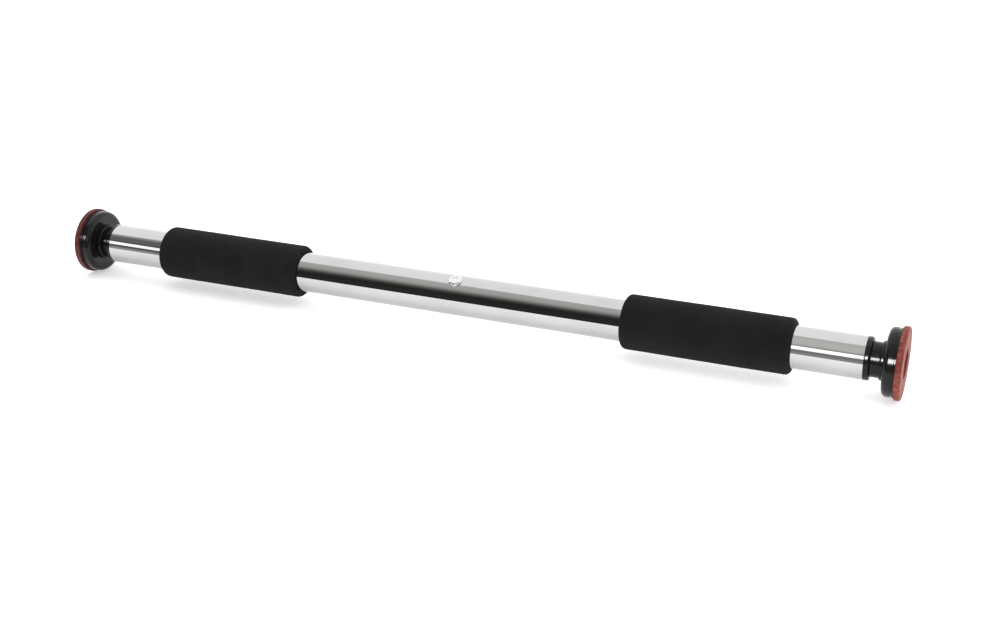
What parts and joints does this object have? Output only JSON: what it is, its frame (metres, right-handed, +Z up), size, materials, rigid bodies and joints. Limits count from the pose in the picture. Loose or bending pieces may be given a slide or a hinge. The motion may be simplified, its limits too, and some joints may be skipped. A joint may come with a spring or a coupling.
{
  "type": "pull up bar",
  "caption": "Telescopic doorway pull up bar: chromed tube with foam grips, and threaded ends with round rubber-padded flanges that screw out against the door frame.",
  "frame": {"origin": "middle of the bar, on its axis", "axes": "+X along the bar towards the right-hand end, +Z up, -Y towards the user's side that the centre screw leans to"},
  "size_m": [0.64, 0.05, 0.05],
  "materials": {
    "chrome_tube": "bright chrome plate",
    "grip_foam": "matt black closed-cell foam",
    "black_plastic": "glossy black moulded plastic",
    "black_paint": "glossy black paint on steel tube",
    "red_rubber": "matt brick-red rubber",
    "bright_steel": "bright zinc-plated steel",
    "natural_plastic": "natural white plastic"
  },
  "bodies": {
    "bar": {"outer_tube": "chrome_tube", "centre_hub": "bright_steel", "centre_screw": "bright_steel", "left_grip": "grip_foam", "left_end_bush": "black_plastic", "left_spindle": "bright_steel", "left_spindle_pin": "bright_steel", "left_stop_washer": "bright_steel", "left_stop_screw": "bright_steel", "right_grip": "grip_foam", "right_end_bush": "black_plastic", "right_spindle": "bright_steel", "right_spindle_pin": "bright_steel", "right_stop_washer": "bright_steel", "right_stop_screw": "bright_steel"},
    "left_guide": {"left_guide_ring": "natural_plastic"},
    "left_end": {"left_inner_tube": "black_paint", "left_drive_nut": "bright_steel", "left_nut_pins": "bright_steel", "left_end_plug": "bright_steel", "left_flange": "black_plastic", "left_backing_plate": "bright_steel", "left_flange_screw": "bright_steel", "left_pad": "red_rubber"},
    "right_guide": {"right_guide_ring": "natural_plastic"},
    "right_end": {"right_inner_tube": "black_paint", "right_drive_nut": "bright_steel", "right_nut_pins": "bright_steel", "right_end_plug": "bright_steel", "right_flange": "black_plastic", "right_backing_plate": "bright_steel", "right_flange_screw": "bright_steel", "right_pad": "red_rubber"}
  },
  "joints": [
    {"name": "left_extend", "type": "slide", "parent": "bar", "child": "left_guide", "axis": [-1, 0, 0], "range_m": [0, 0.1302]},
    {"name": "left_turn", "type": "hinge", "parent": "left_guide", "child": "left_end", "pos_m": [-0.106, 0, 0], "axis": [1, 0, 0], "range_deg": [0, 11700]},
    {"name": "right_extend", "type": "slide", "parent": "bar", "child": "right_guide", "axis": [1, 0, 0], "range_m": [0, 0.1302]},
    {"name": "right_turn", "type": "hinge", "parent": "right_guide", "child": "right_end", "pos_m": [0.106, 0, 0], "axis": [1, 0, 0], "range_deg": [0, 11700]}
  ],
  "couplings": [
    {"joint": "left_extend", "follows": "left_turn", "m_per_rad": 0.00063662},
    {"joint": "right_extend", "follows": "right_turn", "m_per_rad": 0.00063662}
  ]
}
